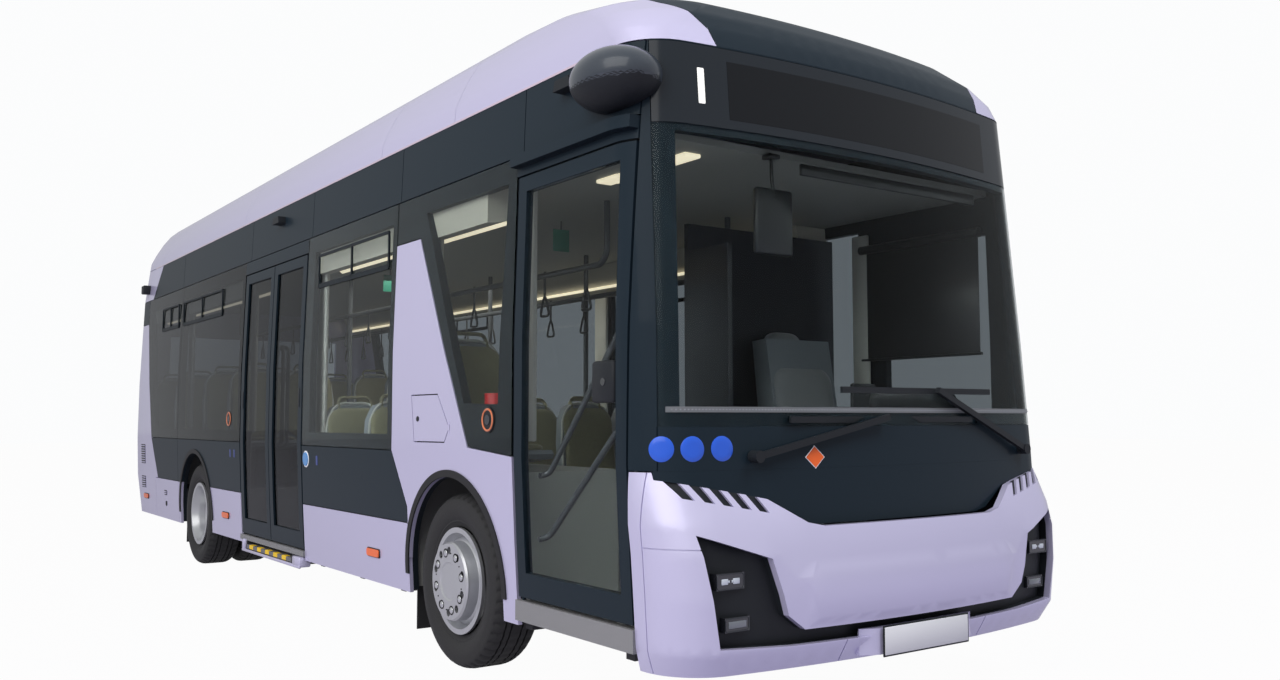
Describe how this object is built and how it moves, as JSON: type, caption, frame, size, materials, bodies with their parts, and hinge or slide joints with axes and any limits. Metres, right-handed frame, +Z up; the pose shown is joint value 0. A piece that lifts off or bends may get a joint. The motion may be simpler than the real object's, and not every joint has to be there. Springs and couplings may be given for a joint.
{
  "type": "city bus",
  "caption": "Low-floor electric city bus with a swing-in front door, a two-leaf middle door, ramp, steered front wheels and twin rear wheels.",
  "frame": {"origin": "on the ground under the middle of the bus's box", "axes": "+X forward, +Y to the bus's left, +Z up"},
  "size_m": [9.412, 2.7438, 3.19],
  "materials": {
    "pearl_paint": "pearl lilac metallic paint",
    "dark_paint": "gloss blue-black paint",
    "frame_black": "satin black",
    "clear_glass": "clear safety glass with black edges",
    "black_plastic": "grained black",
    "dark_panel": "smoked panel",
    "lamp_plastic": "clear lamp with a bright reflector",
    "lamp_red": "red lens",
    "lining_plastic": "warm light grey",
    "floor_vinyl": "speckled non-slip vinyl",
    "frame_steel": "black chassis coating",
    "cast_steel": "painted casting",
    "motor_alloy": "cast housing",
    "battery_steel": "grey coating",
    "ramp_alloy": "anti-slip plate",
    "rubber": "black rubber",
    "seat_plastic": "grey shell",
    "seat_fabric": "olive plush",
    "rail_steel": "dark grey powder coat",
    "tyre": "black tyre",
    "wheel_steel": "silver painted disc"
  },
  "bodies": {
    "root": {"arch_rubbers": "rubber", "battery_packs": "battery_steel", "bumper_inserts": "black_plastic", "camera_pods": "black_plastic", "cant_panels": "dark_paint", "ceiling_lining": "lining_plastic", "chassis_frame": "frame_steel", "dashboard": "black_plastic", "display_board": "black_plastic", "display_glass": "clear_glass", "drive_motor": "motor_alloy", "driver_partition": "dark_panel", "front_axle": "cast_steel", "front_bumper": "pearl_paint", "front_frame": "dark_paint", "handrails": "rail_steel", "head_lamps": "lamp_plastic", "hood_panel": "dark_paint", "ramp_cassette": "frame_steel", "rear_axle": "cast_steel", "rear_glass": "clear_glass", "rear_lamps": "lamp_red", "rear_wall": "pearl_paint", "roof_cap": "dark_paint", "roof_fairings": "pearl_paint", "roof_panel": "pearl_paint", "saloon_floor": "floor_vinyl", "seat_pads": "seat_fabric", "seats": "seat_plastic", "side_frame_left": "frame_black", "side_frame_right": "frame_black", "side_glass_left": "clear_glass", "side_glass_right": "clear_glass", "skirts_left": "pearl_paint", "skirts_right": "pearl_paint", "steering_wheel": "black_plastic", "waist_left": "dark_paint", "waist_right": "dark_paint", "wheel_boxes": "lining_plastic", "windshield": "clear_glass", "wipers": "black_plastic"},
    "front_door": {"front_door": "dark_paint", "front_door_glass": "clear_glass"},
    "mid_door_rear": {"mid_door_rear": "dark_paint", "mid_door_rear_glass": "clear_glass"},
    "mid_door_front": {"mid_door_front": "dark_paint", "mid_door_front_glass": "clear_glass"},
    "charge_flap": {"charge_flap": "pearl_paint"},
    "ramp": {"ramp": "ramp_alloy"},
    "rear_hatch": {"rear_hatch": "pearl_paint"},
    "knuckle_left": {"knuckle_left": "cast_steel"},
    "knuckle_right": {"knuckle_right": "cast_steel"},
    "front_wheel_left": {"tyre_front_left": "tyre", "rim_front_left": "wheel_steel"},
    "front_wheel_right": {"tyre_front_right": "tyre", "rim_front_right": "wheel_steel"},
    "rear_wheels_left": {"tyres_rear_left": "tyre", "rims_rear_left": "wheel_steel"},
    "rear_wheels_right": {"tyres_rear_right": "tyre", "rims_rear_right": "wheel_steel"}
  },
  "joints": [
    {"name": "steer_right", "type": "hinge", "parent": "root", "child": "knuckle_right", "pos_m": [2.73, -0.9, 0.43], "axis": [0, 0, 1], "range_deg": [-42, 42]},
    {"name": "steer_left", "type": "hinge", "parent": "root", "child": "knuckle_left", "pos_m": [2.73, 0.9, 0.43], "axis": [0, 0, 1], "range_deg": [-42, 42]},
    {"name": "front_wheel_right_spin", "type": "hinge", "parent": "knuckle_right", "child": "front_wheel_right", "pos_m": [2.73, -1.0425, 0.43], "axis": [0, 1, 0], "continuous": true},
    {"name": "front_wheel_left_spin", "type": "hinge", "parent": "knuckle_left", "child": "front_wheel_left", "pos_m": [2.73, 1.0425, 0.43], "axis": [0, 1, 0], "continuous": true},
    {"name": "rear_wheels_right_spin", "type": "hinge", "parent": "root", "child": "rear_wheels_right", "pos_m": [-2.2, -1.0425, 0.43], "axis": [0, 1, 0], "continuous": true},
    {"name": "rear_wheels_left_spin", "type": "hinge", "parent": "root", "child": "rear_wheels_left", "pos_m": [-2.2, 1.0425, 0.43], "axis": [0, 1, 0], "continuous": true},
    {"name": "front_door_swing", "type": "hinge", "parent": "root", "child": "front_door", "pos_m": [3.41, -1.175, 1.4], "axis": [0, 0, 1], "range_deg": [0, 88]},
    {"name": "mid_door_rear_swing", "type": "hinge", "parent": "root", "child": "mid_door_rear", "pos_m": [-0.818, -1.175, 1.4], "axis": [0, 0, 1], "range_deg": [0, 88]},
    {"name": "mid_door_front_swing", "type": "hinge", "parent": "root", "child": "mid_door_front", "pos_m": [0.525, -1.175, 1.4], "axis": [0, 0, -1], "range_deg": [0, 88]},
    {"name": "ramp_slide", "type": "slide", "parent": "root", "child": "ramp", "axis": [0, -1, 0], "range_m": [0, 0.62]},
    {"name": "charge_flap_hinge", "type": "hinge", "parent": "root", "child": "charge_flap", "pos_m": [2.742, -1.225, 1.19], "axis": [0, 0, 1], "range_deg": [0, 110]},
    {"name": "rear_hatch_hinge", "type": "hinge", "parent": "root", "child": "rear_hatch", "pos_m": [-4.68968, 0, 1.184], "axis": [0, 1, 0], "range_deg": [0, 75]}
  ],
  "couplings": [
    {"joint": "steer_left", "follows": "steer_right", "ratio": 1}
  ]
}
